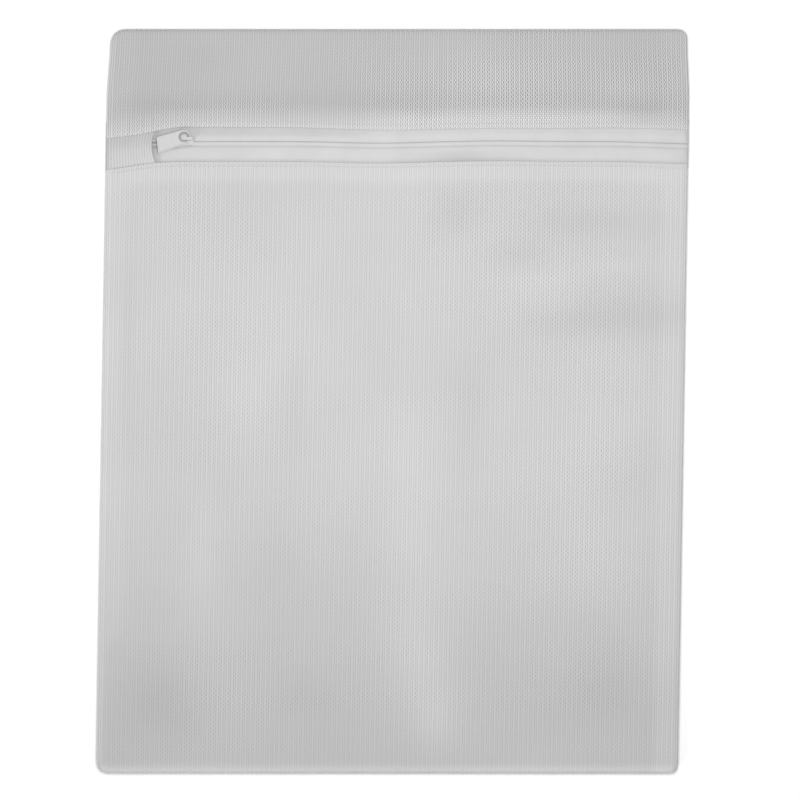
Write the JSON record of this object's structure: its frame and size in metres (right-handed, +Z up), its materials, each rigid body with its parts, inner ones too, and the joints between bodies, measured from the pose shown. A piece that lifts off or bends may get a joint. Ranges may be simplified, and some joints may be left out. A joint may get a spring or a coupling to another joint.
{
  "type": "mesh laundry bag",
  "caption": "Flat rectangular mesh bag that holds delicate laundry in a washing machine, closed by a hemmed zip with an elastic keeper",
  "frame": {"origin": "on the floor under the middle of the bag's bounding box, back panel down", "axes": "+X along the zip towards its open end, +Y towards the zip end of the bag, +Z up out of the front panel"},
  "size_m": [0.3047, 0.3826, 0.0097],
  "materials": {
    "mesh_cloth": "fine knitted polyester mesh, see-through, white",
    "zip_tape": "close woven polyester tape, white",
    "nylon_coil": "white nylon monofilament, slight sheen",
    "thread": "white polyester sewing thread",
    "elastic": "white ribbed knitted elastic",
    "slider_plastic": "white moulded plastic, satin"
  },
  "bodies": {
    "root": {"back_panel": "mesh_cloth", "front_panel": "mesh_cloth", "lower_hem": "mesh_cloth", "zip_tape_lower": "zip_tape", "zip_coil_lower": "nylon_coil", "coil_stitch_lower": "thread", "zip_stitch_lower": "thread", "elastic_keeper": "elastic", "keeper_stitch": "thread", "seam_allowance_left": "mesh_cloth", "seam_allowance_right": "mesh_cloth", "seam_stitch_left": "thread", "seam_stitch_right": "thread", "overlock_left": "thread", "overlock_right": "thread"},
    "mouth_flap": {"top_strip": "mesh_cloth", "upper_hem": "mesh_cloth", "zip_tape_upper": "zip_tape", "zip_coil_upper": "nylon_coil", "coil_stitch_upper": "thread", "zip_stitch_upper": "thread"},
    "slider": {"slider_body": "slider_plastic"},
    "pull": {"pull_tab": "slider_plastic"}
  },
  "joints": [
    {"name": "zip_slide", "type": "slide", "parent": "root", "child": "slider", "axis": [1, 0, 0], "range_m": [0, 0.236], "deforming": ["zip_tape_lower", "zip_coil_lower"]},
    {"name": "mouth_open", "type": "hinge", "parent": "root", "child": "mouth_flap", "pos_m": [0, 0.191, 0.0033], "axis": [-1, 0, 0], "range_deg": [0, 35], "deforming": ["zip_tape_upper", "zip_coil_upper", "coil_stitch_upper"]},
    {"name": "pull_flip", "type": "hinge", "parent": "slider", "child": "pull", "pos_m": [-0.1042, 0.1349, 0.0075], "axis": [0, 1, 0], "range_deg": [0, 180]}
  ],
  "couplings": [
    {"joint": "mouth_open", "follows": "zip_slide", "rad_per_m": 2.588}
  ]
}
